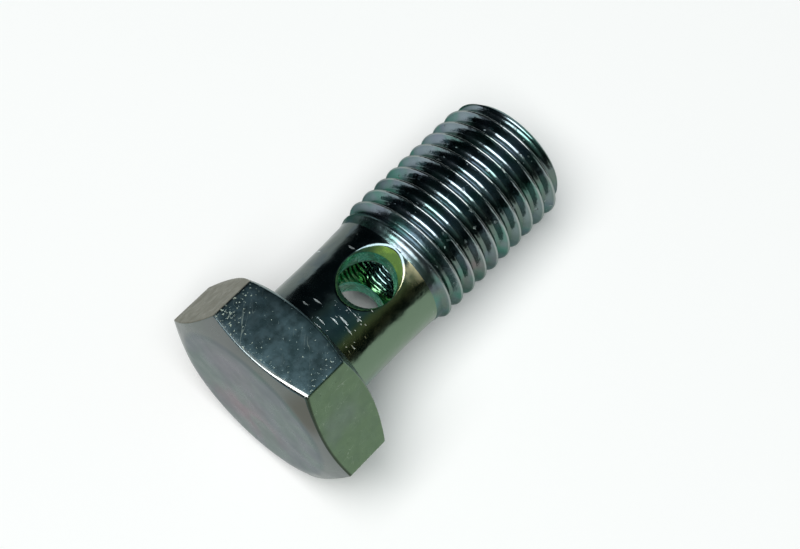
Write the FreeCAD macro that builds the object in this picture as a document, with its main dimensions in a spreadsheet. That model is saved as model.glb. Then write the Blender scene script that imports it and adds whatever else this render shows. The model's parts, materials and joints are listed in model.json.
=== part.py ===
import FreeCAD, Part
import Sketcher
import math
import os

# Hollow hexagon-head screw for a ring fitting, in millimetres.
# It is one piece of steel: a chamfered hexagon head, a plain turned waist, and
# a right-hand M12 x 1.5 thread at the far end, which is drawn here at its
# crests. A blind bore runs up the middle from the tip and meets a countersunk
# hole that crosses the waist.
# While it is built, its X axis is the screw's own axis: the face under the head
# is at x = 0, the head lies towards -X and the tip towards +X, and one flat of
# the hexagon faces +Z. The finished screw is then laid down to rest.

os.makedirs("parts", exist_ok=True)
doc = FreeCAD.newDocument("banjo_bolt")

# Driving sizes, in millimetres and degrees
SIZES = [
    # hexagon head, chamfered at both ends
    ("across_flats", 17.0),
    ("head_height", 6.0),
    ("end_chamfer_inset", 0.9),
    ("end_chamfer_angle", 24.0),
    ("end_blend_radius", 3.0),
    ("bearing_chamfer_inset", 0.4),
    ("bearing_chamfer_angle", 30.0),
    # thread
    ("thread_diameter", 12.0),
    ("thread_length", 14.8),
    ("tip_chamfer", 0.8),
    # waist between head and thread, very slightly hollow along its length
    ("waist_length", 11.2),
    ("waist_depth", 0.55),
    ("waist_hollow", 0.1),
    ("runout_radius", 2.6),
    ("under_head_fillet", 0.5),
    # blind bore from the tip, which ends just past the hole across the waist
    ("bore_diameter", 6.0),
    ("bore_overrun", 0.6),
    ("bore_point_angle", 118.0),
    ("bore_mouth_chamfer", 0.4),
    # hole across the waist, turned a little off the hexagon's top flat
    ("cross_hole_diameter", 4.8),
    ("cross_hole_offset", 6.8),
    ("cross_hole_turn", 7.0),
    ("countersink_width", 0.65),
]

sheet = doc.addObject("Spreadsheet::Sheet", "Sizes")
for row, (alias, value) in enumerate(SIZES, start=1):
    sheet.set("A%d" % row, alias)
    sheet.set("B%d" % row, str(value))
    sheet.setAlias("B%d" % row, alias)
doc.recompute()

# Sizes that follow from the driving ones, each written once
CORNER_RADIUS = "Sizes.across_flats / 2 / cos(30 deg)"
END_CIRCLE_RADIUS = "(Sizes.across_flats / 2 - Sizes.end_chamfer_inset)"
BEARING_CIRCLE_RADIUS = "(Sizes.across_flats / 2 - Sizes.bearing_chamfer_inset)"
THREAD_RADIUS = "Sizes.thread_diameter / 2"
WAIST_RADIUS = "(Sizes.thread_diameter / 2 - Sizes.waist_depth)"
SHANK_LENGTH = "(Sizes.waist_length + Sizes.thread_length)"
BORE_DEPTH = (
    SHANK_LENGTH + " - Sizes.cross_hole_offset"
    " + Sizes.cross_hole_diameter / 2 + Sizes.bore_overrun"
)

bolt = doc.addObject("PartDesign::Body", "banjo_bolt")
bolt.Label = "banjo_bolt"


def origin_feature(role):
    """One of the body's own origin planes or axes."""
    return next(item for item in bolt.Origin.OriginFeatures if item.Role == role)


def sketch_on(role, name):
    """A sketch that lies flat on one of the body's origin planes."""
    sketch = bolt.newObject("Sketcher::SketchObject", name)
    sketch.AttachmentSupport = [(origin_feature(role), "")]
    sketch.MapMode = "FlatFace"
    return sketch


def polygon(sketch, points):
    """Straight lines from point to point, joined end to end and closed."""
    corners = [FreeCAD.Vector(x, y, 0) for x, y in points]
    following = corners[1:] + corners[:1]
    lines = [
        sketch.addGeometry(Part.LineSegment(start, end), False)
        for start, end in zip(corners, following)
    ]
    for line, next_line in zip(lines, lines[1:] + lines[:1]):
        sketch.addConstraint(Sketcher.Constraint("Coincident", line, 2, next_line, 1))
    return lines


def dimension(sketch, name, formula, kind, *where):
    """A sized constraint with a name, tied to the sheet."""
    value = float(sketch.evalExpression(formula))
    index = sketch.addConstraint(Sketcher.Constraint(kind, *where, value))
    sketch.renameConstraint(index, name)
    sketch.setExpression("Constraints." + name, formula)


def size(name):
    """A driving size's plain number."""
    return float(sheet.get(name))


def circle_edge(feature, x, radius):
    """The name of the round edge about the screw's axis at x, of that radius."""
    for number, edge in enumerate(feature.Shape.Edges, start=1):
        curve = edge.Curve
        if not isinstance(curve, Part.Circle) or edge.Length < 2 * math.pi * radius - 0.01:
            continue
        centre = curve.Center
        off_axis = math.hypot(centre.y, centre.z)
        if abs(centre.x - x) + off_axis + abs(curve.Radius - radius) < 0.01:
            return "Edge%d" % number
    raise RuntimeError("no round edge of radius %.2f at x = %.2f" % (radius, x))


# Head: a hexagonal prism on the -X side of the bearing face
hexagon = sketch_on("YZ_Plane", "HexagonSketch")
corner = size("across_flats") / 2 / math.cos(math.pi / 6)
sides = polygon(
    hexagon,
    [
        (corner * math.cos(k * math.pi / 3), corner * math.sin(k * math.pi / 3))
        for k in range(6)
    ],
)
corner_circle = hexagon.addGeometry(
    Part.Circle(FreeCAD.Vector(0, 0, 0), FreeCAD.Vector(0, 0, 1), corner), True
)
hexagon.addConstraint(Sketcher.Constraint("Coincident", corner_circle, 3, -1, 1))
hexagon.addConstraint(Sketcher.Constraint("PointOnObject", sides[0], 1, -1))
for side in sides:
    hexagon.addConstraint(Sketcher.Constraint("PointOnObject", side, 1, corner_circle))
for side in sides[1:]:
    hexagon.addConstraint(Sketcher.Constraint("Equal", sides[0], side))
dimension(hexagon, "corner_radius", CORNER_RADIUS, "Radius", corner_circle)

head = bolt.newObject("PartDesign::Pad", "Head")
head.Profile = hexagon
head.Reversed = True
head.setExpression("Length", "Sizes.head_height")
doc.recompute()


def head_chamfer(name, face_x, toward, circle_radius, angle):
    """Turn the hexagon's corners down to a cone that starts on an end face.

    face_x is how far the end face lies on the -X side of the bearing face, and
    toward is the way from it into the head, -1 or 1.
    """
    sketch = sketch_on("XZ_Plane", name + "Sketch")
    start_x = -float(sketch.evalExpression(face_x))
    inner = float(sketch.evalExpression(circle_radius))
    outer = corner + 1.0
    reach = (outer - inner) * math.tan(math.radians(size(angle)))
    points = [(start_x, inner), (start_x, outer), (start_x + toward * reach, outer)]
    face, rim, cone = polygon(sketch, points)
    sketch.addConstraint(Sketcher.Constraint("Vertical", face))
    sketch.addConstraint(Sketcher.Constraint("Horizontal", rim))
    if start_x < 0:
        dimension(sketch, "face_place", face_x, "DistanceX", face, 1, -1, 1)
    else:
        sketch.addConstraint(Sketcher.Constraint("PointOnObject", face, 1, -2))
    dimension(sketch, "circle_radius", circle_radius, "DistanceY", -1, 1, face, 1)
    dimension(sketch, "outer_radius", CORNER_RADIUS + " + 1", "DistanceY", -1, 1, face, 2)
    reach_formula = "(%s + 1 - %s) * tan(Sizes.%s * 1 deg)" % (CORNER_RADIUS, circle_radius, angle)
    ends = (rim, 1, rim, 2) if toward > 0 else (rim, 2, rim, 1)
    dimension(sketch, "reach", reach_formula, "DistanceX", *ends)
    groove = bolt.newObject("PartDesign::Groove", name)
    groove.Profile = sketch
    groove.ReferenceAxis = (origin_feature("X_Axis"), [""])
    groove.Angle = 360.0
    doc.recompute()
    return groove


head_chamfer("EndChamfer", "Sizes.head_height", 1, END_CIRCLE_RADIUS, "end_chamfer_angle")
head_chamfer("BearingChamfer", "0 * Sizes.head_height", -1, BEARING_CIRCLE_RADIUS, "bearing_chamfer_angle")

# Shank: one turned outline, from the bearing face along the hollow waist, up
# the concave run-out to the thread's crests, and over the chamfered tip
outline = sketch_on("XZ_Plane", "ShankSketch")
thread_radius = size("thread_diameter") / 2
waist_radius = thread_radius - size("waist_depth")
runout = size("runout_radius")
thread_start = size("waist_length")
tip_x = thread_start + size("thread_length")
bevel = size("tip_chamfer")
runout_start = thread_start - math.sqrt(2 * runout * size("waist_depth") - size("waist_depth") ** 2)
sag = size("waist_hollow")
hollow_radius = ((runout_start / 2) ** 2 + sag ** 2) / (2 * sag)
half_angle = math.asin(runout_start / 2 / hollow_radius)
turned_up = math.acos(1 - size("waist_depth") / runout)
PLANE_NORMAL = FreeCAD.Vector(0, 0, 1)

face_line = outline.addGeometry(
    Part.LineSegment(FreeCAD.Vector(0, 0, 0), FreeCAD.Vector(0, waist_radius, 0)), False
)
hollow_centre = FreeCAD.Vector(runout_start / 2, waist_radius - sag + hollow_radius, 0)
hollow_arc = outline.addGeometry(
    Part.ArcOfCircle(
        Part.Circle(hollow_centre, PLANE_NORMAL, hollow_radius),
        1.5 * math.pi - half_angle,
        1.5 * math.pi + half_angle,
    ),
    False,
)
runout_centre = FreeCAD.Vector(runout_start, waist_radius + runout, 0)
runout_arc = outline.addGeometry(
    Part.ArcOfCircle(
        Part.Circle(runout_centre, PLANE_NORMAL, runout),
        1.5 * math.pi,
        1.5 * math.pi + turned_up,
    ),
    False,
)
tail_points = [
    FreeCAD.Vector(thread_start, thread_radius, 0),
    FreeCAD.Vector(tip_x - bevel, thread_radius, 0),
    FreeCAD.Vector(tip_x, thread_radius - bevel, 0),
    FreeCAD.Vector(tip_x, 0, 0),
    FreeCAD.Vector(0, 0, 0),
]
crest_line, bevel_line, tip_line, axis_line = [
    outline.addGeometry(Part.LineSegment(start, end), False)
    for start, end in zip(tail_points, tail_points[1:])
]
chain = [face_line, hollow_arc, runout_arc, crest_line, bevel_line, tip_line, axis_line]
for piece, next_piece in zip(chain, chain[1:] + chain[:1]):
    outline.addConstraint(Sketcher.Constraint("Coincident", piece, 2, next_piece, 1))
lowest = outline.addGeometry(
    Part.Point(FreeCAD.Vector(runout_start / 2, waist_radius - sag, 0)), True
)
outline.addConstraint(
    [
        Sketcher.Constraint("Coincident", face_line, 1, -1, 1),
        Sketcher.Constraint("Vertical", face_line),
        Sketcher.Constraint("Horizontal", hollow_arc, 1, hollow_arc, 2),
        Sketcher.Constraint("PointOnObject", lowest, 1, hollow_arc),
        Sketcher.Constraint("Vertical", lowest, 1, hollow_arc, 3),
        Sketcher.Constraint("Vertical", runout_arc, 3, runout_arc, 1),
        Sketcher.Constraint("Horizontal", crest_line),
        Sketcher.Constraint("Vertical", tip_line),
        Sketcher.Constraint("PointOnObject", tip_line, 2, -1),
    ]
)
dimension(outline, "waist_radius", WAIST_RADIUS, "DistanceY", -1, 1, face_line, 2)
dimension(outline, "hollow", "Sizes.waist_hollow", "DistanceY", lowest, 1, hollow_arc, 1)
dimension(outline, "runout_radius", "Sizes.runout_radius", "Radius", runout_arc)
dimension(outline, "waist_length", "Sizes.waist_length", "DistanceX", -1, 1, crest_line, 1)
dimension(outline, "thread_radius", THREAD_RADIUS, "DistanceY", -1, 1, crest_line, 1)
dimension(outline, "shank_length", SHANK_LENGTH, "DistanceX", -1, 1, tip_line, 1)
dimension(outline, "bevel_across", "Sizes.tip_chamfer", "DistanceY", bevel_line, 2, bevel_line, 1)
dimension(outline, "bevel_along", "Sizes.tip_chamfer", "DistanceX", bevel_line, 1, bevel_line, 2)

shank = bolt.newObject("PartDesign::Revolution", "Shank")
shank.Profile = outline
shank.ReferenceAxis = (origin_feature("X_Axis"), [""])
shank.Angle = 360.0
doc.recompute()

# Fillet where the waist meets the underside of the head
neck = bolt.newObject("PartDesign::Fillet", "UnderHeadFillet")
neck.Base = (shank, [circle_edge(shank, 0.0, waist_radius)])
neck.setExpression("Radius", "Sizes.under_head_fillet")
doc.recompute()

# Soft edge where the head's end face runs into its chamfer
end_radius = size("across_flats") / 2 - size("end_chamfer_inset")
blend = bolt.newObject("PartDesign::Fillet", "EndBlend")
blend.Base = (neck, [circle_edge(neck, -size("head_height"), end_radius)])
blend.setExpression("Radius", "Sizes.end_blend_radius")
doc.recompute()


def drilled_hole(name, sketch, diameter, depth):
    """A drilled hole down from a sketch's circle, into the screw."""
    hole = bolt.newObject("PartDesign::Hole", name)
    hole.Profile = sketch
    doc.recompute()
    hole.ThreadType = "None"
    hole.DepthType = "Dimension"
    hole.HoleCutType = "Countersink"
    hole.HoleCutCustomValues = True
    hole.HoleCutCountersinkAngle = 90.0
    hole.setExpression("Diameter", diameter)
    hole.setExpression("Depth", depth)
    return hole


# Blind bore from the tip, with a drill's point at its end and a bevelled mouth
bore_sketch = sketch_on("YZ_Plane", "BoreSketch")
bore_sketch.setExpression("AttachmentOffset.Base.z", SHANK_LENGTH)
bore_circle = bore_sketch.addGeometry(
    Part.Circle(FreeCAD.Vector(0, 0, 0), PLANE_NORMAL, size("bore_diameter") / 2), False
)
bore_sketch.addConstraint(Sketcher.Constraint("Coincident", bore_circle, 3, -1, 1))
dimension(bore_sketch, "bore_radius", "Sizes.bore_diameter / 2", "Radius", bore_circle)
bore = drilled_hole("AxialBore", bore_sketch, "Sizes.bore_diameter", BORE_DEPTH)
bore.DrillPoint = "Angled"
bore.DrillForDepth = False
bore.setExpression("DrillPointAngle", "Sizes.bore_point_angle")
bore.setExpression("HoleCutDiameter", "Sizes.bore_diameter + 2 * Sizes.bore_mouth_chamfer")
doc.recompute()

# Hole across the waist. It is drilled from the thread's crest height down to
# the bore, so that its countersink opens over the curve of the waist, and the
# same cut is repeated from the opposite side.
cross_sketch = sketch_on("XY_Plane", "CrossHoleSketch")
cross_sketch.AttachmentOffset = FreeCAD.Placement(
    FreeCAD.Vector(0, 0, 0),
    FreeCAD.Rotation(FreeCAD.Vector(1, 0, 0), size("cross_hole_turn")),
)
cross_sketch.setExpression("AttachmentOffset.Rotation.Angle", "Sizes.cross_hole_turn * 1 deg")
cross_sketch.setExpression(
    "AttachmentOffset.Base.y", "-%s * sin(Sizes.cross_hole_turn * 1 deg)" % THREAD_RADIUS
)
cross_sketch.setExpression(
    "AttachmentOffset.Base.z", "%s * cos(Sizes.cross_hole_turn * 1 deg)" % THREAD_RADIUS
)
cross_circle = cross_sketch.addGeometry(
    Part.Circle(
        FreeCAD.Vector(size("cross_hole_offset"), 0, 0),
        PLANE_NORMAL,
        size("cross_hole_diameter") / 2,
    ),
    False,
)
cross_sketch.addConstraint(Sketcher.Constraint("PointOnObject", cross_circle, 3, -1))
dimension(cross_sketch, "offset", "Sizes.cross_hole_offset", "DistanceX", -1, 1, cross_circle, 3)
dimension(cross_sketch, "hole_radius", "Sizes.cross_hole_diameter / 2", "Radius", cross_circle)
cross = drilled_hole("CrossHole", cross_sketch, "Sizes.cross_hole_diameter", THREAD_RADIUS)
cross.DrillPoint = "Flat"
cross.setExpression(
    "HoleCutDiameter",
    "Sizes.cross_hole_diameter + 2 * Sizes.countersink_width"
    " + 2 * (Sizes.waist_depth + Sizes.waist_hollow)",
)
doc.recompute()

both_walls = bolt.newObject("PartDesign::PolarPattern", "CrossHoleBothWalls")
both_walls.Originals = [cross]
both_walls.Axis = (origin_feature("X_Axis"), [""])
both_walls.Angle = 360.0
both_walls.Occurrences = 2
bolt.Tip = both_walls
doc.recompute()

# At rest the screw lies on the flat opposite the top one, at the point of its
# edge nearest the tip, and on the last full crest beside the tip's chamfer.
rest_edge_x = -size("bearing_chamfer_inset") * math.tan(math.radians(size("bearing_chamfer_angle")))
rest_crest_x = tip_x - bevel
droop = math.atan2(size("across_flats") / 2 - thread_radius, rest_crest_x - rest_edge_x)
lie_down = FreeCAD.Rotation(FreeCAD.Vector(0, 1, 0), math.degrees(droop))
bolt.Placement = FreeCAD.Placement(FreeCAD.Vector(0, 0, 0), lie_down)
box = bolt.Shape.optimalBoundingBox()
middle = box.Center
bolt.Placement = FreeCAD.Placement(FreeCAD.Vector(-middle.x, -middle.y, -box.ZMin), lie_down)

# Nothing is written unless every feature was made and the screw is one solid
for item in doc.Objects:
    if "Invalid" in item.State or "Error" in item.State:
        raise RuntimeError("%s failed: %s" % (item.Name, item.State))
if bolt.Shape.isNull() or not bolt.Shape.isValid() or len(bolt.Shape.Solids) != 1:
    raise RuntimeError("the screw isn't one valid solid")

bolt.Shape.exportStep("parts/%s.step" % bolt.Label)
print("volume %.2f mm3, droop %.3f deg" % (bolt.Shape.Volume, math.degrees(droop)))
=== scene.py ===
import json
import math

import bmesh
import bpy
from mathutils import Matrix, Vector


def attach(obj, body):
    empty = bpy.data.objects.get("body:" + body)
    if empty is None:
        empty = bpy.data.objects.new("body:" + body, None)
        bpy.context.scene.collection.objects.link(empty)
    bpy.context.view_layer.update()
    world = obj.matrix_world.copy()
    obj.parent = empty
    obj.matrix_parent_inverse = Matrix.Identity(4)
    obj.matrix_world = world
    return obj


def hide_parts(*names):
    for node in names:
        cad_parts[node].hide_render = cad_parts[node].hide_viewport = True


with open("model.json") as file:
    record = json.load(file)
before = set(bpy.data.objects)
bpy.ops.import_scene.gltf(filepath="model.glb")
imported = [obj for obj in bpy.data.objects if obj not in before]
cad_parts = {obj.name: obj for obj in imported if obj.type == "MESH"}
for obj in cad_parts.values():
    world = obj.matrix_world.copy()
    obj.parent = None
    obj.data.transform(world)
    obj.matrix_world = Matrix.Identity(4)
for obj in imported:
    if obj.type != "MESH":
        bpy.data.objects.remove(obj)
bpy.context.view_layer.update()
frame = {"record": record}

# Hexagon head

# The head is cold-forged from steel wire in one with the shank, and its end face is
# bevelled all round. The whole bolt is zinc plated, with a clear passivate. Sizes are
# in millimetres along its axis: x = 0 is the face under the head, the tip is at +x.

MM = 0.001
ACROSS_FLATS = 17.0
HEAD_HEIGHT = 6.0
END_CIRCLE = 7.6
END_SLOPE = math.radians(24.0)
END_BLEND = 3.0
BEARING_CIRCLE = 8.1
BEARING_SLOPE = math.radians(30.0)
HEX_EDGE_RADIUS = 0.28
CREASE = 0.13
SEAT_EDGE = 0.08
WORN_EDGE = 0.09
WORN_CORNER = 117.0
WORN_CORNER_SPREAD = 14.0
WORN_CORNER_MORE = 0.20
WAIST_RADIUS = 5.45
NECK_FILLET = 0.5

finishes = []


def give(tree, socket, value):
    """Links an input to another node's output, or sets it to a plain value."""
    if isinstance(value, bpy.types.NodeSocket):
        tree.links.new(value, socket)
    else:
        socket.default_value = value


def add(tree, kind, inputs=None, **settings):
    """A shader node with its settings made and its inputs set or linked."""
    made = tree.nodes.new("ShaderNode" + kind)
    for name, value in settings.items():
        setattr(made, name, value)
    for name, value in (inputs or {}).items():
        give(tree, made.inputs[name], value)
    return made


def new_group(name, inputs, outputs):
    """An empty node group with named sockets, and its input and output nodes."""
    group = bpy.data.node_groups.new(name, "ShaderNodeTree")
    for label, kind, value in inputs:
        socket = group.interface.new_socket(label, in_out="INPUT", socket_type="NodeSocket" + kind)
        socket.default_value = value
    for label, kind in outputs:
        group.interface.new_socket(label, in_out="OUTPUT", socket_type="NodeSocket" + kind)
    return group, group.nodes.new("NodeGroupInput").outputs, group.nodes.new("NodeGroupOutput").inputs


def fill_group(tree, group, inputs):
    """A node group placed in a material, its inputs set or linked."""
    placed = tree.nodes.new("ShaderNodeGroup")
    placed.node_tree = group
    for name, value in inputs.items():
        give(tree, placed.inputs[name], value)
    return placed.outputs


def maths(tree, operation, a, b=0.0, c=0.0):
    """One sum of the Math node, from sockets or plain numbers."""
    return add(tree, "Math", {0: a, 1: b, 2: c}, operation=operation).outputs[0]


def fade(tree, value, start, end, low=0.0, high=1.0):
    """A value that eases from low to high as another goes from start to end."""
    inputs = {"Value": value, "From Min": start, "From Max": end, "To Min": low, "To Max": high}
    return add(tree, "MapRange", inputs, interpolation_type="SMOOTHSTEP").outputs["Result"]


def shifted(tree, place, step):
    """A place moved by a step."""
    return add(tree, "VectorMath", {0: place, 1: step}, operation="ADD").outputs["Vector"]


def scaled(tree, vector, size):
    """A vector made longer or shorter, to size times its length."""
    return add(tree, "VectorMath", {0: vector, "Scale": size}, operation="SCALE").outputs["Vector"]


def far_from(tree, place, point):
    """How far a place on the bolt lies from a point, in millimetres."""
    return add(tree, "VectorMath", {0: place, 1: point}, operation="DISTANCE").outputs["Value"]


def far_along(tree, place, direction):
    """How far a place lies along a direction."""
    return add(tree, "VectorMath", {0: place, 1: direction}, operation="DOT_PRODUCT").outputs["Value"]


def off_axis(tree, part):
    """How far a place lies from the bolt's axis, from its Y and Z parts."""
    squares = maths(tree, "MULTIPLY", part["Z"], part["Z"])
    squares = maths(tree, "MULTIPLY_ADD", part["Y"], part["Y"], squares)
    return maths(tree, "SQRT", squares)


def noise(tree, place, scale, detail=2.0, offset=(0.0, 0.0, 0.0)):
    """Noise over the bolt, scale in patches per millimetre."""
    moved = shifted(tree, place, offset)
    return add(tree, "TexNoise", {"Vector": moved, "Scale": scale, "Detail": detail}).outputs["Fac"]


def blend(tree, share, first, second):
    """A colour between two, by share."""
    mixed = add(tree, "Mix", data_type="RGBA")
    for socket, value in (("Factor", share), ("A", first), ("B", second)):
        target = next(s for s in mixed.inputs if s.name == socket and s.enabled and s.type != "VECTOR")
        give(tree, target, value)
    return next(s for s in mixed.outputs if s.enabled and s.type == "RGBA")


# Tint of the passivate, with painted reflection: the colour differs by the side a face turns to, standing
# in for the surroundings each side mirrors, and it has soft patches of rose
tint_and_reflection_group, given, result = new_group(
    "passivate_tint_and_painted_reflection",
    [
        ("Place", "Vector", (0, 0, 0)),
        ("Left", "Color", (0.2, 0.2, 0.2, 1)),
        ("Top", "Color", (0.2, 0.2, 0.2, 1)),
        ("Right", "Color", (0.2, 0.2, 0.2, 1)),
        ("Rose", "Color", (0.2, 0.2, 0.2, 1)),
        ("Rose Centre", "Vector", (0, 0, 0)),
        ("Rose Reach", "Float", 4.0),
    ],
    [("Color", "Color")],
)
tree = tint_and_reflection_group
facing = add(tree, "TexCoord").outputs["Normal"]
sideways = add(tree, "SeparateXYZ", {0: facing}).outputs["Y"]
broad = noise(tree, given["Place"], 0.22, 2.0)
sideways = maths(tree, "MULTIPLY_ADD", maths(tree, "SUBTRACT", broad, 0.5), 0.5, sideways)
colour = blend(tree, fade(tree, sideways, 0.1, 0.7), given["Top"], given["Left"])
colour = blend(tree, fade(tree, sideways, -0.1, -0.7), colour, given["Right"])
away = far_from(tree, given["Place"], given["Rose Centre"])
patchy = noise(tree, given["Place"], 0.3, 2.0, (31, 7, 3))
away = maths(tree, "DIVIDE", maths(tree, "MULTIPLY_ADD", patchy, 7.0, away), given["Rose Reach"])
colour = blend(tree, fade(tree, away, 1.6, 0.5), colour, given["Rose"])
tree.links.new(colour, result["Color"])

# Hair lines: fine long scratches in one direction, broken up by a slow noise
line_group, given, result = new_group(
    "hair_lines",
    [
        ("Place", "Vector", (0, 0, 0)),
        ("Direction", "Vector", (0, 1, 0)),
        ("Spacing", "Float", 1.0),
        ("Share", "Float", 0.3),
    ],
    [("Mask", "Float")],
)
tree = line_group
along = far_along(tree, given["Place"], given["Direction"])
squeeze = scaled(tree, given["Direction"], maths(tree, "MULTIPLY", along, -0.93))
drawn = shifted(tree, given["Place"], squeeze)
per_mm = maths(tree, "DIVIDE", 1.0, given["Spacing"])
waver = add(tree, "TexNoise", {"Vector": drawn, "Scale": per_mm, "Detail": 1.0}).outputs["Fac"]
off_line = maths(tree, "ABSOLUTE", maths(tree, "SUBTRACT", waver, 0.5))
line = fade(tree, off_line, 0.005, 0.001)
broken = noise(tree, given["Place"], 0.4, 3.0, (2, 9, 17))
level = maths(tree, "SUBTRACT", 0.75, maths(tree, "MULTIPLY", given["Share"], 0.5))
broken = fade(tree, maths(tree, "SUBTRACT", broken, level), 0.0, 0.05)
tree.links.new(maths(tree, "MULTIPLY", line, broken), result["Mask"])


def new_finish(name):
    """A metal finish of the bolt: its nodes, the place on the bolt, and its number."""
    material = bpy.data.materials.new(name)
    material.use_nodes = True
    finishes.append(material)
    place = add(material.node_tree, "Attribute", attribute_name="on_bolt").outputs["Vector"]
    return material.node_tree, place, len(finishes) - 1


def finish_off(tree, colour, roughness, height, metallic=1.0, edge_tint=(1, 1, 1, 1)):
    """Colour, roughness and a height in millimetres, joined to the metal shader."""
    shader = tree.nodes["Principled BSDF"]
    shader.inputs["Metallic"].default_value = metallic
    shader.inputs["Specular Tint"].default_value = edge_tint
    bump = add(tree, "Bump", {"Height": height, "Distance": MM})
    tree.links.new(colour, shader.inputs["Base Color"])
    tree.links.new(roughness, shader.inputs["Roughness"])
    tree.links.new(bump.outputs["Normal"], shader.inputs["Normal"])


# End face and its bevel: forged smooth, with a soft sheen and a few scratches
tree, place, END = new_finish("end_face_plating")
colour = fill_group(
    tree,
    tint_and_reflection_group,
    {
        "Place": place,
        "Left": (0.108, 0.140, 0.126, 1),
        "Top": (0.108, 0.130, 0.142, 1),
        "Right": (0.106, 0.138, 0.150, 1),
        "Rose": (0.170, 0.124, 0.142, 1),
        "Rose Centre": (-6, 1.0, -3.0),
        "Rose Reach": 5.5,
    },
)["Color"]
cloud = noise(tree, place, 0.30, 1.0, (3, 3, 3))
colour = blend(tree, fade(tree, cloud, 0.42, 0.62, 0.0, 0.7), colour, (0.098, 0.148, 0.128, 1))
lilac = far_from(tree, place, (-6, 2.5, 4.0))
colour = blend(tree, fade(tree, lilac, 4.5, 1.0, 0.0, 0.6), colour, (0.142, 0.128, 0.155, 1))
part = add(tree, "SeparateXYZ", {0: place}).outputs
# Painted light: the bevel is coloured lighter than the face, making up for the darker surroundings it
# mirrors, so both look alike
bevel = fade(tree, part["X"], 0.01 - HEAD_HEIGHT, 0.16 - HEAD_HEIGHT)
colour = blend(tree, maths(tree, "MULTIPLY", bevel, 0.7), colour, (0.202, 0.210, 0.199, 1))
# Painted shade: a dark brown patch on the bevel by the corner between the top flat and the flat on the −y
# side
bevel_shade = fade(tree, far_from(tree, place, (-5.6, -5.6, 6.8)), 3.2, 1.0)
bevel_shade = maths(tree, "MULTIPLY", bevel_shade, bevel)
colour = blend(tree, maths(tree, "MULTIPLY", bevel_shade, 0.7), colour, (0.105, 0.100, 0.080, 1))
scratches = fill_group(
    tree, line_group, {"Place": place, "Direction": (0, 0.77, -0.64), "Spacing": 2.2, "Share": 0.16}
)["Mask"]
colour = blend(tree, maths(tree, "MULTIPLY", scratches, 0.75), colour, (0.05, 0.055, 0.055, 1))
roughness = fade(tree, noise(tree, place, 0.6, 3.0, (8, 1, 4)), 0.3, 0.7, 0.26, 0.34)
height = maths(tree, "MULTIPLY", noise(tree, place, 0.25, 2.0, (1, 5, 9)), 0.05)
height = maths(tree, "MULTIPLY_ADD", noise(tree, place, 6.0, 3.0), 0.0006, height)
height = maths(tree, "MULTIPLY_ADD", scratches, -0.006, height)
finish_off(tree, colour, roughness, height, edge_tint=(0.80, 0.82, 0.82, 1))

# Flats: duller and cloudy, speckled and rubbed where spanners and other bolts met them, with painted shade
# and a painted highlight along the crease to the end bevel, and the top flat painted darker towards +y
tree, place, FLAT = new_finish("flats_plating")
colour = fill_group(
    tree,
    tint_and_reflection_group,
    {
        "Place": place,
        "Left": (0.135, 0.122, 0.096, 1),
        "Top": (0.120, 0.192, 0.220, 1),
        "Right": (0.128, 0.192, 0.118, 1),
        "Rose": (0.150, 0.195, 0.165, 1),
        "Rose Centre": (-3, -7, 4),
        "Rose Reach": 4.0,
    },
)["Color"]
part = add(tree, "SeparateXYZ", {0: place}).outputs
radius = off_axis(tree, part)
worn = maths(tree, "MAXIMUM", fade(tree, part["X"], -3.6, -5.4), fade(tree, radius, 8.8, 9.6))
facing = add(tree, "TexCoord").outputs["Normal"]
upper = fade(tree, add(tree, "SeparateXYZ", {0: facing}).outputs["Z"], 0.6, 0.9)
worn = maths(tree, "MULTIPLY", worn, maths(tree, "MULTIPLY_ADD", upper, 0.8, 0.2))
# Painted shade: the top flat is painted darker towards +y, standing in for the dark room it mirrors
painted_dark_top = maths(tree, "MULTIPLY", fade(tree, part["Y"], -1.0, 4.6), upper)
colour = blend(tree, maths(tree, "MULTIPLY", painted_dark_top, 0.65), colour, (0.045, 0.075, 0.095, 1))
cloud = fade(tree, noise(tree, place, 1.1, 4.0, (7, 2, 2)), 0.40, 0.66)
cloud = maths(tree, "MULTIPLY", cloud, maths(tree, "MULTIPLY_ADD", upper, 0.32, 0.08))
colour = blend(tree, cloud, colour, (0.075, 0.105, 0.115, 1))
knocked = fade(tree, far_from(tree, place, (-4.8, 4.2, 8.5)), 2.8, 0.6)
grains = noise(tree, place, 4.2, 8.0, (6, 3, 12))
grains = maths(tree, "MULTIPLY_ADD", worn, 0.06, grains)
grains = maths(tree, "MULTIPLY_ADD", knocked, 0.06, grains)
grains = fade(tree, grains, 0.675, 0.74)
streaks = fill_group(
    tree, line_group, {"Place": place, "Direction": (0.8, 0.6, 0), "Spacing": 0.8, "Share": 0.5}
)["Mask"]
speckles = maths(tree, "MULTIPLY", grains, upper)
marks = maths(tree, "MAXIMUM", speckles, maths(tree, "MULTIPLY", streaks, 0.4))
colour = blend(tree, maths(tree, "MULTIPLY", marks, 0.8), colour, (0.52, 0.60, 0.50, 1))
crease = maths(tree, "MULTIPLY", maths(tree, "SUBTRACT", radius, END_CIRCLE), math.tan(END_SLOPE))
crease = maths(tree, "SUBTRACT", maths(tree, "ADD", part["X"], HEAD_HEIGHT), crease)
# Rubbed plating and painted highlight: a light line along the top flat's crease with the end bevel, widest
# towards −y, painted on the top flat only
rubbed_edge_and_highlight = maths(tree, "MULTIPLY", fade(tree, crease, 0.36, 0.12), upper)
rubbed_edge_and_highlight = maths(tree, "MULTIPLY", fade(tree, part["Y"], 3.0, -3.8, 0.1, 1.0), rubbed_edge_and_highlight)
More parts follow.
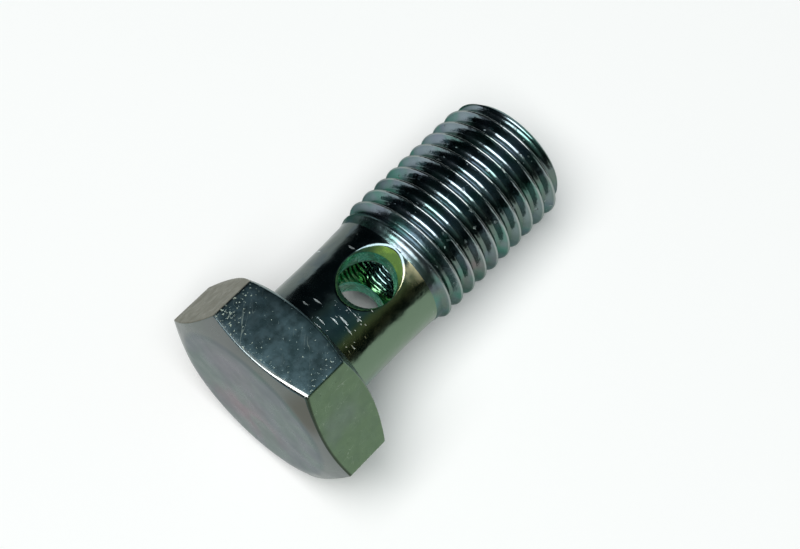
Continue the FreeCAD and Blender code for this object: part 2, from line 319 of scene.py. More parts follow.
# Painted shade: a dark line on the flats below the top one, towards −y, along their crease with the end
# bevel
crease_shade = maths(tree, "MULTIPLY", fade(tree, crease, 0.24, 0.06), fade(tree, part["Y"], -3.0, -5.5))
crease_shade = maths(tree, "MULTIPLY", crease_shade, fade(tree, upper, 0.6, 0.2))
colour = blend(tree, maths(tree, "MULTIPLY", crease_shade, 0.8), colour, (0.030, 0.036, 0.028, 1))
colour = blend(tree, maths(tree, "MULTIPLY", rubbed_edge_and_highlight, 0.9), colour, (0.60, 0.61, 0.58, 1))
roughness = fade(tree, noise(tree, place, 1.4, 3.0, (8, 1, 4)), 0.3, 0.7, 0.26, 0.36)
roughness = maths(tree, "MULTIPLY_ADD", marks, 0.25, roughness)
roughness = maths(tree, "MULTIPLY_ADD", rubbed_edge_and_highlight, -0.08, roughness)
height = maths(tree, "MULTIPLY", noise(tree, place, 0.3, 2.0, (1, 5, 9)), 0.05)
height = maths(tree, "MULTIPLY_ADD", noise(tree, place, 2.6, 4.0), 0.003, height)
height = maths(tree, "MULTIPLY_ADD", grains, -0.012, height)
finish_off(tree, colour, roughness, height, edge_tint=(0.70, 0.72, 0.68, 1))

# The waist's finish starts in the fillet under the head, and its section fills it in
waist_tree, waist_place, WAIST = new_finish("turned_waist_plating")


def hexagon_radius(angle):
    """Distance from the axis to the hexagon's side: corners a little rounded, a flat at +z."""
    off_corner = abs((angle + 30.0) % 60.0 - 30.0)
    flat = ACROSS_FLATS / 2 / math.cos(math.radians(30.0 - off_corner))
    centre = (ACROSS_FLATS / 2 - HEX_EDGE_RADIUS) / math.cos(math.radians(30.0))
    side = centre * math.sin(math.radians(off_corner))
    if side >= HEX_EDGE_RADIUS:
        return flat
    rounded = centre * math.cos(math.radians(off_corner)) + math.sqrt(HEX_EDGE_RADIUS ** 2 - side ** 2)
    return min(flat, rounded)


def bend(before, corner, after, steps):
    """Points of a small round edge between two faces, corner left out."""
    points = []
    for k in range(steps + 1):
        t = k / steps
        points.append(before * (1 - t) ** 2 + corner * 2 * t * (1 - t) + after * t * t)
    return points


END_FACE_ROWS = (1.2, 2.6, 4.0, 5.3, 6.3)
BEARING_ROWS = (7.3, 6.5)


def head_section(angle):
    """The head's outline at one angle, from its end face to the bearing face."""
    side = hexagon_radius(angle)
    reach = END_BLEND * math.tan(END_SLOPE / 2)
    near_worn = math.exp(-((angle - WORN_CORNER) / WORN_CORNER_SPREAD) ** 2)
    worn = WORN_EDGE + WORN_CORNER_MORE * near_worn
    cone_out = Vector((-HEAD_HEIGHT + (side - END_CIRCLE) * math.tan(END_SLOPE), side))
    cone_in = Vector((-(side - BEARING_CIRCLE) * math.tan(BEARING_SLOPE), side))
    down = Vector((-math.sin(END_SLOPE), -math.cos(END_SLOPE)))
    inward = Vector((math.sin(BEARING_SLOPE), -math.cos(BEARING_SLOPE)))
    edge = Vector((-HEAD_HEIGHT, END_CIRCLE))
    crease_start = cone_out + down * worn
    rows = [(Vector((-HEAD_HEIGHT, r)), END) for r in END_FACE_ROWS]
    rows += [(p, END) for p in bend(edge - Vector((0, reach)), edge, edge - down * reach, 5)]
    rows.append((crease_start, END))
    rows += [(p, FLAT) for p in bend(crease_start, cone_out, cone_out + Vector((worn, 0)), 4)[1:]]
    for k in range(1, 6):
        rows.append((cone_out.lerp(cone_in, k / 6), FLAT))
    rows += [(p, FLAT) for p in bend(cone_in - Vector((CREASE, 0)), cone_in, cone_in + inward * CREASE, 3)]
    seat = Vector((0.0, BEARING_CIRCLE))
    seat_edge = bend(seat - inward * SEAT_EDGE, seat, seat - Vector((0, SEAT_EDGE)), 2)
    rows += [(p, FLAT) for p in seat_edge]
    rows += [(Vector((0.0, r)), FLAT) for r in BEARING_ROWS]
    for k in range(5):
        turn = math.radians(90.0 * k / 4)
        x = NECK_FILLET * (1 - math.cos(turn))
        r = WAIST_RADIUS + NECK_FILLET * (1 - math.sin(turn))
        rows.append((Vector((x, r)), WAIST))
    return rows


# Columns of the mesh run along the bolt, closer together at the hexagon's corners
NEAR_CORNER = (0.0, 0.45, 1.0, 1.7, 2.7)
FLAT_STEPS = 28
flat_from = NEAR_CORNER[-1]
flat_spread = 60.0 - 2 * flat_from
columns = []
for sector in range(6):
    start = 60.0 * sector
    columns += [start + step for step in NEAR_CORNER]
    columns += [start + flat_from + flat_spread * k / FLAT_STEPS for k in range(1, FLAT_STEPS)]
    columns += [start + 60.0 - step for step in reversed(NEAR_CORNER[1:])]
COUNT = len(columns)

bolt_mesh = bmesh.new()


def vertex(x, r, angle):
    """A vertex at x along the bolt, r from its axis, angle round from +y to +z."""
    turn = math.radians(angle)
    return bolt_mesh.verts.new((x * MM, r * math.cos(turn) * MM, r * math.sin(turn) * MM))


def face(corners, finish):
    """A face of the bolt, unless its corners fall together."""
    distinct = []
    for corner in corners:
        if corner not in distinct:
            distinct.append(corner)
    if len(distinct) > 2:
        made = bolt_mesh.faces.new(distinct)
        made.material_index = finish
        made.smooth = True


def join_rings(ring, next_ring, finish, skip=()):
    """Faces between two closed rings of vertices, with some columns left open."""
    size = len(ring)
    for k in range(size):
        if k not in skip:
            after = (k + 1) % size
            face((ring[k], ring[after], next_ring[after], next_ring[k]), finish)


# Rings of the head, from the centre of its end face to the fillet under it
sections = [head_section(angle) for angle in columns]
centre = vertex(-HEAD_HEIGHT, 0.0, 0.0)
previous = [centre] * COUNT
for row in range(len(sections[0])):
    finish = sections[0][row][1]
    ring = [
        vertex(section[row][0].x, section[row][0].y, angle)
        for section, angle in zip(sections, columns)
    ]
    join_rings(previous, ring, finish)
    previous = ring

# Waist and the hole across it

# The waist is turned a little thinner than the thread, so that fluid can flow
# round it inside the ring fitting. The hole is drilled right across it and
# countersunk at both mouths, and meets the bore in the middle.

mounts = {mount["name"]: mount for mount in frame["record"]["mounts"]}
WAIST_HOLLOW = 0.10
RUNOUT_RADIUS = 2.6
RUNOUT_START = 9.6
THREAD_START = 11.2
THREAD_RADIUS = mounts["thread"]["dims"]["r_mm"]
HOLE_RADIUS = mounts["cross_hole"]["dims"]["r_mm"]
HOLE_X = 6.8
HOLE_ANGLES = (97, 277)
SINK_RADIUS = 3.05
SINK_TOP = 5.35
SINK_SPREAD = 38.0

# Tool lines: fine grooves left by a cutting edge, at one distance and all round
tool_group, given, result = new_group(
    "tool_lines",
    [("Distance", "Float", 0.0), ("Place", "Vector", (0, 0, 0)), ("Spacing", "Float", 0.2)],
    [("Height", "Float")],
)
tree = tool_group
steps = maths(tree, "DIVIDE", given["Distance"], given["Spacing"])
drift = add(tree, "SeparateXYZ", {0: scaled(tree, given["Place"], 0.05)}).outputs
grooved = add(tree, "CombineXYZ", {"X": steps, "Y": drift["Y"], "Z": drift["Z"]}).outputs["Vector"]
grooves = add(tree, "TexNoise", {"Vector": grooved, "Scale": 1.0, "Detail": 2.0, "Roughness": 0.6})
tree.links.new(grooves.outputs["Fac"], result["Height"])

# Nicks: short bright dents that run round the bolt
nick_group, given, result = new_group(
    "nicks",
    [
        ("Place", "Vector", (0, 0, 0)),
        ("Length", "Float", 1.5),
        ("Width", "Float", 0.3),
        ("Share", "Float", 0.3),
    ],
    [("Mask", "Float")],
)
tree = nick_group
part = add(tree, "SeparateXYZ", {0: given["Place"]}).outputs
around = maths(tree, "MULTIPLY", maths(tree, "ARCTAN2", part["Z"], part["Y"]), WAIST_RADIUS)
cell = add(
    tree,
    "CombineXYZ",
    {
        "X": maths(tree, "DIVIDE", part["X"], given["Width"]),
        "Y": maths(tree, "DIVIDE", maths(tree, "MULTIPLY_ADD", part["X"], 0.12, around), given["Length"]),
    },
).outputs["Vector"]
ragged = add(tree, "TexNoise", {"Vector": cell, "Scale": 1.3, "Detail": 3.0}).outputs["Color"]
ragged = shifted(tree, scaled(tree, ragged, 1.1), cell)
spread = {"Vector": ragged, "Scale": 1.0, "Randomness": 1.0}
cells = add(tree, "TexVoronoi", spread, voronoi_dimensions="2D")
size = add(tree, "SeparateXYZ", {0: cells.outputs["Color"]}).outputs["X"]
size = maths(tree, "MULTIPLY", fade(tree, size, maths(tree, "SUBTRACT", 1.0, given["Share"]), 1.0), 0.34)
near = maths(tree, "SUBTRACT", size, cells.outputs["Distance"])
tree.links.new(fade(tree, near, 0.0, 0.16), result["Mask"])

# Pits: small ragged marks, gathered where a slow noise is high
pit_group, given, result = new_group(
    "pits",
    [("Place", "Vector", (0, 0, 0)), ("Spacing", "Float", 0.5), ("Share", "Float", 0.3)],
    [("Mask", "Float")],
)
tree = pit_group
per_mm = maths(tree, "DIVIDE", 1.0, given["Spacing"])
finer = maths(tree, "MULTIPLY", per_mm, 1.6)
ragged = add(tree, "TexNoise", {"Vector": given["Place"], "Scale": finer, "Detail": 3.0}).outputs["Color"]
ragged = shifted(tree, scaled(tree, ragged, given["Spacing"]), given["Place"])
cells = add(tree, "TexVoronoi", {"Vector": ragged, "Scale": per_mm, "Randomness": 1.0})
size = add(tree, "SeparateXYZ", {0: cells.outputs["Color"]}).outputs["X"]
size = maths(tree, "MULTIPLY", maths(tree, "MULTIPLY", size, size), 0.36)
near = maths(tree, "SUBTRACT", size, cells.outputs["Distance"])
gathered = noise(tree, given["Place"], 0.55, 2.0, (5, 11, 2))
level = maths(tree, "SUBTRACT", 0.72, maths(tree, "MULTIPLY", given["Share"], 0.45))
gathered = fade(tree, maths(tree, "SUBTRACT", gathered, level), 0.0, 0.06)
tree.links.new(maths(tree, "MULTIPLY", fade(tree, near, 0.0, 0.14), gathered), result["Mask"])

# Waist: a dark mirror with fine turning lines, nicked next to the head
tree, place = waist_tree, waist_place
colour = fill_group(
    tree,
    tint_and_reflection_group,
    {
        "Place": place,
        "Left": (0.105, 0.128, 0.122, 1),
        "Top": (0.140, 0.190, 0.205, 1),
        "Right": (0.138, 0.202, 0.138, 1),
        "Rose": (0.620, 0.530, 0.260, 1),
        "Rose Centre": (10.0, -2.9, 4.7),
        "Rose Reach": 2.6,
    },
)["Color"]
part = add(tree, "SeparateXYZ", {0: place}).outputs
teal = far_from(tree, place, (1.8, -5.0, -2.0))
teal = maths(tree, "MULTIPLY_ADD", noise(tree, place, 0.5, 2.0), 2.0, teal)
colour = blend(tree, fade(tree, teal, 4.2, 2.0, 0.0, 0.85), colour, (0.12, 0.31, 0.27, 1))
ochre = maths(tree, "MULTIPLY", fade(tree, part["Y"], -2.3, -3.0), fade(tree, part["Y"], -4.2, -3.5))
ochre = maths(tree, "MULTIPLY", ochre, fade(tree, part["Z"], 0.0, 2.0))
colour = blend(tree, maths(tree, "MULTIPLY", ochre, 0.75), colour, (0.36, 0.33, 0.13, 1))
murk = fade(tree, noise(tree, place, 0.7, 4.0, (4, 4, 1)), 0.46, 0.62, 0.0, 0.5)
murk = maths(tree, "MULTIPLY", murk, fade(tree, part["Y"], -3.8, -1.5))
colour = blend(tree, murk, colour, (0.060, 0.085, 0.105, 1))
glint = far_from(tree, place, (9.9, -2.9, 4.6))
glint = maths(tree, "MULTIPLY_ADD", noise(tree, place, 1.5, 3.0, (1, 2, 3)), 1.4, glint)
glint = fade(tree, glint, 2.2, 0.9)
colour = blend(tree, glint, colour, (0.80, 0.70, 0.42, 1))
knocked = fade(tree, far_from(tree, place, (2.0, -1.2, 5.3)), 3.6, 1.4)
dented = maths(tree, "MULTIPLY_ADD", knocked, 0.62, 0.02)
dents = fill_group(
    tree, nick_group, {"Place": place, "Length": 1.5, "Width": 0.26, "Share": dented}
)["Mask"]
pitted = maths(tree, "MULTIPLY_ADD", knocked, 0.95, 0.08)
pits = fill_group(tree, pit_group, {"Place": place, "Spacing": 0.34, "Share": pitted})["Mask"]
marks = maths(tree, "MAXIMUM", dents, pits)
colour = blend(tree, maths(tree, "MULTIPLY", marks, 0.85), colour, (0.72, 0.78, 0.78, 1))
roughness = fade(tree, noise(tree, place, 0.8, 3.0, (8, 1, 4)), 0.3, 0.7, 0.12, 0.22)
roughness = maths(tree, "MULTIPLY_ADD", glint, 0.24, roughness)
roughness = maths(tree, "MULTIPLY_ADD", marks, 0.3, roughness)
turned = fill_group(tree, tool_group, {"Distance": part["X"], "Place": place, "Spacing": 0.11})["Height"]
height = maths(tree, "MULTIPLY", turned, 0.0016)
height = maths(tree, "MULTIPLY_ADD", noise(tree, place, 0.35, 2.0, (1, 5, 9)), 0.07, height)
height = maths(tree, "MULTIPLY_ADD", noise(tree, place, 1.6, 3.0), 0.012, height)
height = maths(tree, "MULTIPLY_ADD", marks, -0.04, height)
finish_off(tree, colour, roughness, height, edge_tint=(0.80, 0.82, 0.80, 1))

# Countersink and hole: cut by the drill, with a thick, satin green passivate; the countersink is painted
# lime on its lit side, towards the tip
tree, place, HOLE = new_finish("drilled_hole_plating")
part = add(tree, "SeparateXYZ", {0: place}).outputs
turn = math.radians(HOLE_ANGLES[0])
depth = maths(tree, "ABSOLUTE", far_along(tree, place, (0, math.cos(turn), math.sin(turn))))
# Painted light: lime where the countersink is lit, towards the tip and −y
painted_lit_side = maths(tree, "MULTIPLY", fade(tree, part["X"], 7.8, 9.1), fade(tree, part["Y"], 1.5, -0.3))
colour = blend(tree, painted_lit_side, (0.035, 0.085, 0.060, 1), (0.38, 0.62, 0.12, 1))
colour = blend(tree, fade(tree, depth, 4.75, 4.55), colour, (0.14, 0.62, 0.43, 1))
olive = fade(tree, noise(tree, place, 0.9, 2.0), 0.45, 0.62, 0.0, 0.5)
colour = blend(tree, olive, colour, (0.10, 0.24, 0.10, 1))
cut = fill_group(tree, tool_group, {"Distance": depth, "Place": place, "Spacing": 0.22})["Height"]
roughness = fade(tree, noise(tree, place, 1.2, 3.0), 0.3, 0.7, 0.18, 0.32)
height = maths(tree, "MULTIPLY", cut, 0.005)
height = maths(tree, "MULTIPLY_ADD", noise(tree, place, 1.5, 3.0, (3, 1, 2)), 0.02, height)
finish_off(tree, colour, roughness, height, metallic=0.55)


def waist_radius(x):
    """The turned outline of waist and run-out, without the thread's grooves."""
    if x < RUNOUT_START:
        return WAIST_RADIUS - WAIST_HOLLOW * (1 - (2 * x / RUNOUT_START - 1) ** 2)
    if x < THREAD_START:
        return WAIST_RADIUS + RUNOUT_RADIUS - math.sqrt(RUNOUT_RADIUS ** 2 - (x - RUNOUT_START) ** 2)
    return THREAD_RADIUS


def patch_columns(angle, spread):
    """Indices of the columns that lie within spread degrees of a hole's angle."""
    inside = [k for k, c in enumerate(columns) if abs((c - angle + 180) % 360 - 180) <= spread]
    start = next(k for k in inside if (k - 1) % COUNT not in inside)
    return [(start + k) % COUNT for k in range(len(inside))]


def frame_of_patch(rings, patch):
    """The closed loop of vertices round an opening left in a stack of rings."""
    loop = [rings[0][k] for k in patch]
    loop += [ring[patch[-1]] for ring in rings[1:-1]]
    loop += [rings[-1][k] for k in reversed(patch)]
    loop += [ring[patch[0]] for ring in reversed(rings[1:-1])]
    return loop


def on_hole(vert, hole_angle):
    """Where a vertex is as seen down a hole: along the bolt and degrees round it."""
    x, y, z = (value / MM for value in vert.co)
    round_it = math.degrees(math.atan2(z, y)) - hole_angle
    return x - HOLE_X, (round_it + 180.0) % 360.0 - 180.0


# Rings along the waist, with an opening left for each mouth of the hole
NEAR_HEAD_ROWS = (0.9, 1.5, 2.2, 2.9)
OPENING_FROM = 3.4
OPENING_LENGTH = 6.7
OPENING_STEPS = 34
waist_rows = list(NEAR_HEAD_ROWS)
waist_rows += [OPENING_FROM + OPENING_LENGTH * k / OPENING_STEPS for k in range(OPENING_STEPS + 1)]
open_rows = []
patches = [patch_columns(angle, SINK_SPREAD) for angle in HOLE_ANGLES]
left_open = {k for patch in patches for k in patch[:-1]}
for x in waist_rows:
    ring = [vertex(x, waist_radius(x), angle) for angle in columns]
    join_rings(previous, ring, WAIST, left_open if open_rows else ())
    if x >= OPENING_FROM:
        open_rows.append(ring)
    previous = ring


def rim_distance(direction):
    """How far from the hole's axis its countersink meets the waist."""
    near, far = 1.0, 4.5
    for _ in range(40):
        middle = (near + far) / 2
        u, v = middle * math.cos(direction), middle * math.sin(direction)
        surface = math.sqrt(waist_radius(HOLE_X + u) ** 2 - v * v)
        if SINK_TOP - (SINK_RADIUS - middle) < surface:
            near = middle
        else:
            far = middle
    return (near + far) / 2


def hole_vertex(distance, direction, height, hole_angle):
    """A vertex placed from the hole's own axis, height above the bolt's axis."""
    u, v = distance * math.cos(direction), distance * math.sin(direction)
    angle = hole_angle + math.degrees(math.atan2(v, height))
    return vertex(HOLE_X + u, math.hypot(v, height), angle)


def in_order(loop, hole_angle, radius):
    """A loop turned to start at its lowest direction, with each vertex's direction."""
    keyed = []
    for vert in loop:
        u, turn = on_hole(vert, hole_angle)
        keyed.append((math.atan2(radius * math.radians(turn), u) % (2 * math.pi), vert))
    turns = [(keyed[(k + 1) % len(keyed)][0] - keyed[k][0]) % (2 * math.pi) for k in range(len(keyed))]
    if sum(turn > math.pi for turn in turns) > 1:
        keyed.reverse()
    first = min(range(len(keyed)), key=lambda k: keyed[k][0])
    keyed = keyed[first:] + keyed[:first]
    return [vert for _, vert in keyed], [key for key, _ in keyed]


# Mouths of the hole: waist surface, round rim, countersink and straight wall
BORE_RADIUS = mounts["axial_bore"]["dims"]["r_mm"]
SINK_ROWS = 8
RIM_ROWS = 3
RIM_SOFTNESS = 0.16
LIP_SOFTNESS = 0.08
WALL_STEPS = 6
wall_ends = []
for patch, hole_angle in zip(patches, HOLE_ANGLES):
    border, directions = in_order(frame_of_patch(open_rows, patch), hole_angle, WAIST_RADIUS)
    profile = []
    for vert, direction in zip(border, directions):
        u, turn = on_hole(vert, hole_angle)
        v = WAIST_RADIUS * math.sin(math.radians(turn))
        edge_distance, edge_direction = math.hypot(u, v), math.atan2(v, u)
        rim = rim_distance(edge_direction)
        room = rim - HOLE_RADIUS
        soft = min(RIM_SOFTNESS, 0.45 * room)
        section = []
        for k in range(1, SINK_ROWS + 1):
            t = (k / SINK_ROWS) ** 0.8
            distance = edge_distance + (rim + soft - edge_distance) * t
            u, v = distance * math.cos(edge_direction), distance * math.sin(edge_direction)
            section.append((distance, math.sqrt(waist_radius(HOLE_X + u) ** 2 - v * v)))
        outer = Vector(section[-1])
        corner = Vector((rim, SINK_TOP - (SINK_RADIUS - rim)))
        inner = corner - Vector((soft, soft))
        section += [tuple(p) for p in bend(outer, corner, inner, 4)[1:]]
        sink_end = Vector((HOLE_RADIUS, SINK_TOP - (SINK_RADIUS - HOLE_RADIUS)))
        lip = min(LIP_SOFTNESS, 0.4 * room)
        lip_start = sink_end + Vector((lip, lip))
        section.append(tuple(inner.lerp(lip_start, 0.5)))
        section += [tuple(p) for p in bend(lip_start, sink_end, sink_end - Vector((0, lip)), 3)]
        floor = math.sqrt(BORE_RADIUS ** 2 - (HOLE_RADIUS * math.sin(edge_direction)) ** 2)
        top = section[-1][1]
        section += [(HOLE_RADIUS, top + (floor - top) * k / WALL_STEPS) for k in range(1, WALL_STEPS + 1)]
        profile.append([hole_vertex(d, edge_direction, height, hole_angle) for d, height in section])
    ring = border
    for row in range(len(profile[0])):
        next_ring = [column[row] for column in profile]
        join_rings(ring, next_ring, WAIST if row < SINK_ROWS + RIM_ROWS else HOLE)
        ring = next_ring
    wall_ends.append(ring)

# Rolled thread

# The M12 x 1.5 right-hand thread is rolled on, so its crests and roots are
# round and it fades out into the waist. It is one ridge, wound round and round.

PITCH = 1.5
CREST_RADIUS = 0.10
ROOT_RADIUS = 0.48
THREAD_DEPTH = 0.80
THREAD_PHASE = 10.55
GROOVE_FROM = 10.2
GROOVE_GROWTH = 1.9
ROOT_BLEND = 0.05
TIP_BLEND = 0.06
TIP_X = 26.0
TIP_CHAMFER = 0.8
FLANK_ANGLE = math.radians(60.0)
CREST_END = CREST_RADIUS * math.sin(FLANK_ANGLE)
FLANK_RISE = math.tan(FLANK_ANGLE)

tree, place, THREAD = new_finish("rolled_thread_plating")
colour = fill_group(
    tree,
    tint_and_reflection_group,
    {
        "Place": place,
        "Left": (0.050, 0.076, 0.070, 1),
        "Top": (0.270, 0.330, 0.375, 1),
        "Right": (0.130, 0.172, 0.150, 1),
        "Rose": (0.215, 0.150, 0.160, 1),
        "Rose Centre": (15, -5.0, 1.0),
        "Rose Reach": 4.0,
    },
)["Color"]
film = noise(tree, place, 0.45, 1.0, (9, 4, 2))
colour = blend(tree, fade(tree, film, 0.45, 0.72, 0.0, 0.6), colour, (0.075, 0.24, 0.18, 1))
film = noise(tree, place, 0.5, 1.0, (2, 14, 6))
colour = blend(tree, fade(tree, film, 0.48, 0.75, 0.0, 0.3), colour, (0.17, 0.16, 0.26, 1))
part = add(tree, "SeparateXYZ", {0: place}).outputs
radius = off_axis(tree, part)
crest = fade(tree, radius, THREAD_RADIUS - 0.12, THREAD_RADIUS - 0.02)
root = fade(tree, radius, THREAD_RADIUS - 0.50, THREAD_RADIUS - 0.70, 0.0, 0.05)
start = fade(tree, part["X"], 13.4, 12.0, 0.0, 0.13)
dents = fill_group(tree, nick_group, {"Place": place, "Length": 0.6, "Width": 0.35, "Share": 0.07})["Mask"]
pits = fill_group(tree, pit_group, {"Place": place, "Spacing": 0.26, "Share": 0.22})["Mask"]
marks = maths(tree, "MAXIMUM", dents, pits)
colour = blend(tree, maths(tree, "MULTIPLY", crest, 0.55), colour, (0.46, 0.49, 0.48, 1))
colour = blend(tree, maths(tree, "MULTIPLY", marks, 0.5), colour, (0.45, 0.50, 0.50, 1))
roughness = fade(tree, noise(tree, place, 0.9, 3.0, (8, 1, 4)), 0.3, 0.7, 0.12, 0.20)
roughness = maths(tree, "MULTIPLY_ADD", crest, 0.03, roughness)
roughness = maths(tree, "ADD", maths(tree, "MAXIMUM", root, start), roughness)
roughness = maths(tree, "MULTIPLY_ADD", marks, 0.25, roughness)
height = maths(tree, "MULTIPLY", noise(tree, place, 0.5, 2.0, (1, 5, 9)), 0.07)
height = maths(tree, "MULTIPLY_ADD", noise(tree, place, 1.8, 3.0), 0.026, height)
height = maths(tree, "MULTIPLY_ADD", marks, -0.03, height)
finish_off(tree, colour, roughness, height, edge_tint=(0.36, 0.43, 0.41, 1))


def smooth_least(a, b, width):
    """The lesser of a and b, with the corner between them rounded."""
    mix = max(0.0, min(1.0, 0.5 + (b - a) / (2 * width)))
    return a * mix + b * (1 - mix) - width * mix * (1 - mix)


def groove_depth(off_crest):
    """How far the thread's surface lies below its crest, off_crest along from it."""
    if off_crest < CREST_END:
        return CREST_RADIUS - math.sqrt(CREST_RADIUS ** 2 - off_crest ** 2)
    flank = CREST_RADIUS * (1 - math.cos(FLANK_ANGLE)) + (off_crest - CREST_END) * FLANK_RISE
    root = THREAD_DEPTH - (PITCH / 2 - off_crest) ** 2 / (2 * ROOT_RADIUS)
    return smooth_least(flank, root, ROOT_BLEND)


def thread_radius(x, off_crest):
    """The thread's surface at x, off_crest millimetres along from the ridge's top."""
    rise = max(0.0, min(1.0, (x - GROOVE_FROM) / GROOVE_GROWTH))
    rise = rise * rise * (3 - 2 * rise)
    tip = THREAD_RADIUS - TIP_CHAMFER + (TIP_X - x)
    return smooth_least(waist_radius(x) - groove_depth(off_crest) * rise, tip, TIP_BLEND)


# Rows follow the helix, so that the ridge is one unbroken line, and stop
# against a plain ring at the waist and another at the tip
OFF_CREST = (0.0, 0.035, 0.065, CREST_END, 0.2, 0.32, 0.44, 0.49, 0.53, 0.57, 0.62, 0.69)
ridge_rows = [-step for step in reversed(OFF_CREST[1:])] + list(OFF_CREST) + [PITCH / 2]
PER_TURN = len(ridge_rows)
LEAST_GAP = 0.01
thread_from = waist_rows[-1]
first_turn = math.floor((thread_from - THREAD_PHASE) / PITCH) - 2
last_turn = math.ceil((TIP_X - THREAD_PHASE) / PITCH) + 2
lines = [
    (THREAD_PHASE + turn * PITCH + step, abs(step))
    for turn in range(first_turn, last_turn)
    for step in ridge_rows
]
grid = []
for k, angle in enumerate(columns):
    column = []
    for base, off_crest in lines:
        x = base + PITCH * angle / 360.0
        if x <= thread_from + LEAST_GAP:
            column.append(previous[k])
        elif x < TIP_X - LEAST_GAP:
            column.append(vertex(x, thread_radius(x, off_crest), angle))
        else:
            column.append(None)
    past = (TIP_X - THREAD_PHASE - PITCH * angle / 360.0 + PITCH / 2) % PITCH - PITCH / 2
    end = vertex(TIP_X, thread_radius(TIP_X, abs(past)), angle)
    grid.append([end if vert is None else vert for vert in column])
for k in range(COUNT):
    wraps = k + 1 == COUNT
    shift = PER_TURN if wraps else 0
    neighbour = grid[(k + 1) % COUNT]
    for row in range(len(lines) - 1 - shift):
        face((grid[k][row], neighbour[row + shift], neighbour[row + shift + 1], grid[k][row + 1]), THREAD)
previous = [column[-1] for column in grid]

# Tip and bore

# The blind bore is drilled from the tip, along the thread and the waist. It ends
# in the drill's point, just past the hole across and before the head.

BORE_MOUTH = 0.4
BORE_END = 3.8
BORE_POINT = math.radians(59.0)
BORE_SPREAD = 62.0
DRILL_FEED = 0.45
TIP_ROWS = (4.6, 4.0)
BORE_STEP = 2.25
BORE_STEPS = 6
BEFORE_OPENING = 10.8
BORE_OPENING_ROWS = (9.8, 8.6, 7.4, 6.2, 5.0, 4.05)
POINT_ROWS = (0.66, 0.33)

tree, place, BORE = new_finish("drilled_bore_plating")
part = add(tree, "SeparateXYZ", {0: place}).outputs
wobble = maths(tree, "MULTIPLY", noise(tree, place, 0.8, 2.0), 9.0)
feed = maths(tree, "MULTIPLY_ADD", part["X"], 2 * math.pi / DRILL_FEED, wobble)
ridges = maths(tree, "MULTIPLY", maths(tree, "SINE", feed), 0.026)
drilled = fill_group(tree, tool_group, {"Distance": part["X"], "Place": place, "Spacing": 0.20})["Height"]
colour = blend(tree, fade(tree, part["X"], 9.2, 10.6), (0.16, 0.36, 0.17, 1), (0.17, 0.27, 0.27, 1))
roughness = fade(tree, noise(tree, place, 1.2, 3.0), 0.3, 0.7, 0.12, 0.22)
height = maths(tree, "MULTIPLY_ADD", drilled, 0.03, ridges)
finish_off(tree, colour, roughness, height)


def stitch(loop, keys, other, other_keys, finish):
    """Triangles between two closed loops, each in rising order of its keys."""
    a, b = 0, 0
    while a < len(loop) or b < len(other):
        next_a = keys[(a + 1) % len(loop)] + (2 * math.pi if a + 1 >= len(loop) else 0.0)
        next_b = other_keys[(b + 1) % len(other)] + (2 * math.pi if b + 1 >= len(other) else 0.0)
        here, there = loop[a % len(loop)], other[b % len(other)]
        if b >= len(other) or (a < len(loop) and next_a <= next_b):
            face((here, loop[(a + 1) % len(loop)], there), finish)
            a += 1
        else:
            face((here, other[(b + 1) % len(other)], there), finish)
            b += 1


# Rings of the tip's face, the bore's wall and the drill's point
tip_rings = [(TIP_X, r, THREAD) for r in TIP_ROWS + (BORE_RADIUS + BORE_MOUTH,)]
tip_rings.append((TIP_X - BORE_MOUTH, BORE_RADIUS, BORE))
for x, r, finish in tip_rings:
    ring = [vertex(x, r, angle) for angle in columns]
    join_rings(previous, ring, finish)
    previous = ring
bore_patches = [patch_columns(angle, BORE_SPREAD) for angle in HOLE_ANGLES]
bore_open = {k for patch in bore_patches for k in patch[:-1]}
open_rings = []
bore_rows = [TIP_X - BORE_MOUTH - BORE_STEP * k for k in range(1, BORE_STEPS + 1)]
bore_rows += [BEFORE_OPENING, *BORE_OPENING_ROWS, BORE_END]
for x in bore_rows:
    ring = [vertex(x, BORE_RADIUS, angle) for angle in columns]
    in_opening = bool(open_rings) and x > BORE_END
    join_rings(previous, ring, BORE, bore_open if in_opening else ())
    if x in BORE_OPENING_ROWS:
        open_rings.append(ring)
    previous = ring
point = vertex(BORE_END - BORE_RADIUS / math.tan(BORE_POINT), 0.0, 0.0)
for share in POINT_ROWS:
    ring = [
        vertex(BORE_END - BORE_RADIUS * (1 - share) / math.tan(BORE_POINT), BORE_RADIUS * share, angle)
        for angle in columns
    ]
    join_rings(previous, ring, BORE)
    previous = ring
join_rings(previous, [point] * COUNT, BORE)
for patch, hole_angle, wall in zip(bore_patches, HOLE_ANGLES, wall_ends):
    border, border_keys = in_order(frame_of_patch(open_rings, patch), hole_angle, BORE_RADIUS)
    loop, loop_keys = in_order(wall, hole_angle, BORE_RADIUS)
    stitch(loop, loop_keys, border, border_keys, BORE)

# The mesh is whole: it is laid as the frame says, along the thread's own axis
bmesh.ops.recalc_face_normals(bolt_mesh, faces=bolt_mesh.faces)
on_bolt = bolt_mesh.verts.layers.float_vector.new("on_bolt")
for vert in bolt_mesh.verts:
    vert[on_bolt] = vert.co / MM
bolt_data = bpy.data.meshes.new("bolt")
bolt_mesh.to_mesh(bolt_data)
bolt_mesh.free()
for material in finishes:
    bolt_data.materials.append(material)
bolt = bpy.data.objects.new("bolt", bolt_data)
bpy.context.collection.objects.link(bolt)
along = Vector(mounts["thread"]["axis"]).normalized()
across = Vector((0.0, 1.0, 0.0))
thread_middle = THREAD_START + mounts["thread"]["dims"]["length_mm"] / 2
bearing_centre = Vector(mounts["thread"]["pos_m"]) - along * thread_middle * MM
lie = Matrix((along, across, along.cross(across))).transposed().to_4x4()
bolt_data.transform(Matrix.Translation(bearing_centre) @ lie)
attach(bolt, "root")
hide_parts("banjo_bolt")

# Floor, lamp and camera

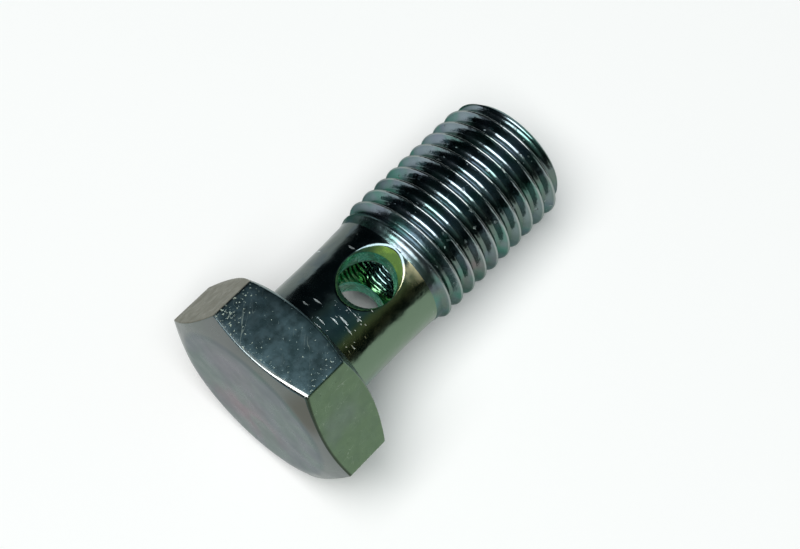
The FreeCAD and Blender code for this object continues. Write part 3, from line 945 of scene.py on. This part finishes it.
# A white sheet under one broad softbox overhead, in a dim room: the head's side
# flats mirror the sheet, and the round shank the softbox and the dark round it.

FLOOR_REACH = 1.5
floor_mesh = bmesh.new()
bmesh.ops.create_grid(floor_mesh, x_segments=1, y_segments=1, size=FLOOR_REACH)
floor_data = bpy.data.meshes.new("floor")
floor_mesh.to_mesh(floor_data)
floor_mesh.free()
floor = bpy.data.objects.new("floor", floor_data)
bpy.context.collection.objects.link(floor)
floor_paint = bpy.data.materials.new("floor_paint")
floor_paint.use_nodes = True
floor_shader = floor_paint.node_tree.nodes["Principled BSDF"]
floor_shader.inputs["Base Color"].default_value = (0.98, 0.975, 0.965, 1)
floor_shader.inputs["Roughness"].default_value = 0.9
floor_shader.inputs["Specular IOR Level"].default_value = 0.0
floor_data.materials.append(floor_paint)

LAMP_AWAY = Vector((-0.25, -0.05, 0.97)).normalized()
LAMP_DISTANCE = 1.0
LAMP_ALONG, LAMP_ACROSS = 0.72, 0.94
LAMP_RADIANCE = 5.5
lamp_data = bpy.data.lights.new("softbox", "AREA")
lamp_data.shape = "RECTANGLE"
lamp_data.size, lamp_data.size_y = LAMP_ALONG, LAMP_ACROSS
lamp_data.energy = LAMP_RADIANCE * math.pi * LAMP_ALONG * LAMP_ACROSS
lamp = bpy.data.objects.new("softbox", lamp_data)
lamp_side = Vector((1, 0, 0)).cross(LAMP_AWAY).cross(LAMP_AWAY).normalized() * -1
lamp_up = LAMP_AWAY.cross(lamp_side)
lamp.matrix_world = Matrix.Translation(LAMP_AWAY * LAMP_DISTANCE) @ Matrix(
    (lamp_side, lamp_up, LAMP_AWAY)
).transposed().to_4x4()
bpy.context.collection.objects.link(lamp)

world = bpy.data.worlds.new("studio")
bpy.context.scene.world = world
world.use_nodes = True
sky = world.node_tree
where = add(sky, "TexCoord").outputs["Generated"]
toward = far_along(sky, where, (0.15, -0.35, 0.93))
ramp = add(sky, "ValToRGB", {"Fac": toward})
ramp.color_ramp.elements[0].position = 0.68
ramp.color_ramp.elements[0].color = (0.006, 0.012, 0.014, 1)
ramp.color_ramp.elements[1].position = 0.92
ramp.color_ramp.elements[1].color = (0.075, 0.15, 0.165, 1)
middle = ramp.color_ramp.elements.new(0.80)
middle.color = (0.10, 0.15, 0.13, 1)
sky.links.new(ramp.outputs["Color"], sky.nodes["Background"].inputs["Color"])

AIM = Vector((0.00066, -0.00102, 0.008))
VIEW_AZIMUTH, VIEW_ELEVATION, VIEW_ROLL = map(math.radians, (-47.28, 69.0, 0.74))
VIEW_DISTANCE = 0.14572
back = Vector(
    (
        math.sin(VIEW_AZIMUTH) * math.cos(VIEW_ELEVATION),
        -math.cos(VIEW_AZIMUTH) * math.cos(VIEW_ELEVATION),
        math.sin(VIEW_ELEVATION),
    )
)
camera_data = bpy.data.cameras.new("camera")
camera_data.sensor_width = 36.0
camera_data.lens = 79.2
camera_data.clip_start = 0.01
camera = bpy.data.objects.new("camera", camera_data)
upright = (-back).to_track_quat("-Z", "Y").to_matrix()
camera.matrix_world = Matrix.Translation(AIM + back * VIEW_DISTANCE) @ (
    upright @ Matrix.Rotation(-VIEW_ROLL, 3, "Z")
).to_4x4()
bpy.context.collection.objects.link(camera)
bpy.context.scene.camera = camera
bpy.context.scene.view_settings.view_transform = "Standard"
